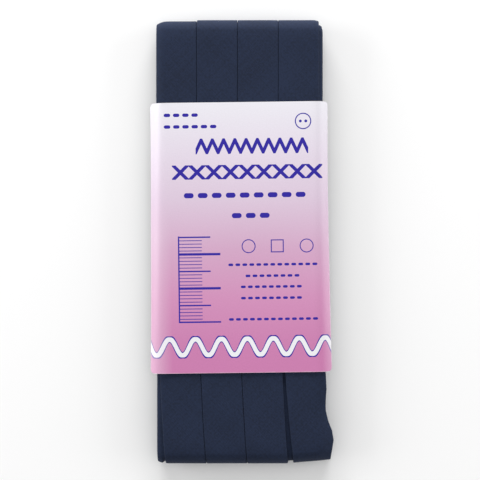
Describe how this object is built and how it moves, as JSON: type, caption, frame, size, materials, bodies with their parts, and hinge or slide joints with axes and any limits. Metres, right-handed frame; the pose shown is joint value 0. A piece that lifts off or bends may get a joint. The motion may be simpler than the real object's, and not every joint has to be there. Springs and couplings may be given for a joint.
{
  "type": "card of bias tape",
  "caption": "Folded bias tape wound flat in side-by-side runs, with a paper label bent over its front.",
  "frame": {"origin": "middle of the card's outline, on the plane its back lies on", "axes": "+Y up along the runs of tape, +X across them to the right seen from the front, +Z out of the front"},
  "size_m": [0.0542, 0.1314, 0.0085],
  "materials": {
    "wound_tape": "matt plain weave of cotton and polyester",
    "paper_label": "smooth printed paper"
  },
  "bodies": {
    "root": {"wound_tape": "wound_tape", "paper_label": "paper_label"}
  },
  "joints": []
}
